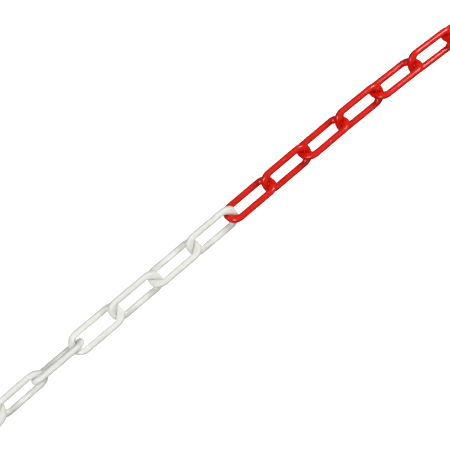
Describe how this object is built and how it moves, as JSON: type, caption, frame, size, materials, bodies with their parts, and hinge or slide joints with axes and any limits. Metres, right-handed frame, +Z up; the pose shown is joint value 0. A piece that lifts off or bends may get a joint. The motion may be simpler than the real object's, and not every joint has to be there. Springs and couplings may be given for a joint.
{
  "type": "plastic barrier chain",
  "caption": "Length of plastic barrier chain made of oblong round-wire links, half of it white and half of it red, for hanging between posts.",
  "frame": {"origin": "centre of the box round the whole chain, at the lowest points of its links", "axes": "+X along the middle of the chain from the white half to the red half, +Y across it, +Z up"},
  "size_m": [0.8726, 0.0371, 0.025],
  "materials": {
    "white_plastic": "semi-gloss moulded polyethylene",
    "red_plastic": "semi-gloss moulded polyethylene"
  },
  "bodies": {
    "link_01": {"link_01": "white_plastic"},
    "link_02": {"link_02": "white_plastic"},
    "link_03": {"link_03": "white_plastic"},
    "link_04": {"link_04": "white_plastic"},
    "link_05": {"link_05": "white_plastic"},
    "link_06": {"link_06": "white_plastic"},
    "link_07": {"link_07": "white_plastic"},
    "link_08": {"link_08": "white_plastic"},
    "link_09": {"link_09": "white_plastic"},
    "link_10": {"link_10": "white_plastic"},
    "link_11": {"link_11": "red_plastic"},
    "link_12": {"link_12": "red_plastic"},
    "link_13": {"link_13": "red_plastic"},
    "link_14": {"link_14": "red_plastic"},
    "link_15": {"link_15": "red_plastic"},
    "link_16": {"link_16": "red_plastic"},
    "link_17": {"link_17": "red_plastic"},
    "link_18": {"link_18": "red_plastic"},
    "link_19": {"link_19": "red_plastic"},
    "link_20": {"link_20": "red_plastic"}
  },
  "joints": [
    {"name": "link_11_swing", "type": "hinge", "parent": "link_10", "child": "link_11", "pos_m": [0.00175, 0.00746, 0.00979], "axis": [0, 0.7071, 0.7071], "range_deg": [-120, 120]},
    {"name": "link_12_swing", "type": "hinge", "parent": "link_11", "child": "link_12", "pos_m": [0.04495, 0.00746, 0.00979], "axis": [0, -0.7071, 0.7071], "range_deg": [-120, 120]},
    {"name": "link_13_swing", "type": "hinge", "parent": "link_12", "child": "link_13", "pos_m": [0.08815, 0.00746, 0.00979], "axis": [0, -0.7071, -0.7071], "range_deg": [-120, 120]},
    {"name": "link_14_swing", "type": "hinge", "parent": "link_13", "child": "link_14", "pos_m": [0.13135, 0.00746, 0.00979], "axis": [0, 0.7071, -0.7071], "range_deg": [-120, 120]},
    {"name": "link_15_swing", "type": "hinge", "parent": "link_14", "child": "link_15", "pos_m": [0.17454, 0.00665, 0.00979], "axis": [0.0123, 0.707, 0.7071], "range_deg": [-120, 120]},
    {"name": "link_16_swing", "type": "hinge", "parent": "link_15", "child": "link_16", "pos_m": [0.21771, 0.00509, 0.00979], "axis": [-0.0247, -0.7067, 0.7071], "range_deg": [-120, 120]},
    {"name": "link_17_swing", "type": "hinge", "parent": "link_16", "child": "link_17", "pos_m": [0.26085, 0.00277, 0.00979], "axis": [-0.037, -0.7061, -0.7071], "range_deg": [-120, 120]},
    {"name": "link_18_swing", "type": "hinge", "parent": "link_17", "child": "link_18", "pos_m": [0.30395, -0.0003, 0.00979], "axis": [0.0493, 0.7054, -0.7071], "range_deg": [-120, 120]},
    {"name": "link_19_swing", "type": "hinge", "parent": "link_18", "child": "link_19", "pos_m": [0.34704, -0.00331, 0.00979], "axis": [0.0493, 0.7054, 0.7071], "range_deg": [-120, 120]},
    {"name": "link_20_swing", "type": "hinge", "parent": "link_19", "child": "link_20", "pos_m": [0.39013, -0.00632, 0.00979], "axis": [-0.0493, -0.7054, 0.7071], "range_deg": [-120, 120]},
    {"name": "link_09_swing", "type": "hinge", "parent": "link_10", "child": "link_09", "pos_m": [-0.04775, 0.00746, 0.00979], "axis": [0, 0.7071, 0.7071], "range_deg": [-120, 120]},
    {"name": "link_08_swing", "type": "hinge", "parent": "link_09", "child": "link_08", "pos_m": [-0.09095, 0.00746, 0.00979], "axis": [0, -0.7071, 0.7071], "range_deg": [-120, 120]},
    {"name": "link_07_swing", "type": "hinge", "parent": "link_08", "child": "link_07", "pos_m": [-0.13415, 0.00746, 0.00979], "axis": [0, -0.7071, -0.7071], "range_deg": [-120, 120]},
    {"name": "link_06_twist", "type": "hinge", "parent": "link_07", "child": "link_06", "pos_m": [-0.17334, 0.00746, 0.01252], "axis": [-1, 0, 0], "range_deg": [0, 80]},
    {"name": "link_05_twist", "type": "hinge", "parent": "link_06", "child": "link_05", "pos_m": [-0.21499, 0.00746, 0.01252], "axis": [-1, 0, 0], "range_deg": [0, 80]},
    {"name": "link_04_swing", "type": "hinge", "parent": "link_05", "child": "link_04", "pos_m": [-0.26052, 0.00666, 0.01063], "axis": [0.0439, -0.5729, -0.8185], "range_deg": [-120, 120]},
    {"name": "link_03_swing", "type": "hinge", "parent": "link_04", "child": "link_03", "pos_m": [-0.3037, 0.00591, 0.00972], "axis": [-0.0035, -0.7073, 0.7069], "range_deg": [-120, 120]},
    {"name": "link_02_swing", "type": "hinge", "parent": "link_03", "child": "link_02", "pos_m": [-0.3469, 0.00516, 0.00979], "axis": [-0.0123, 0.707, 0.7071], "range_deg": [-120, 120]},
    {"name": "link_01_swing", "type": "hinge", "parent": "link_02", "child": "link_01", "pos_m": [-0.39009, 0.0044, 0.00979], "axis": [-0.0123, 0.707, -0.7071], "range_deg": [-120, 120]}
  ]
}
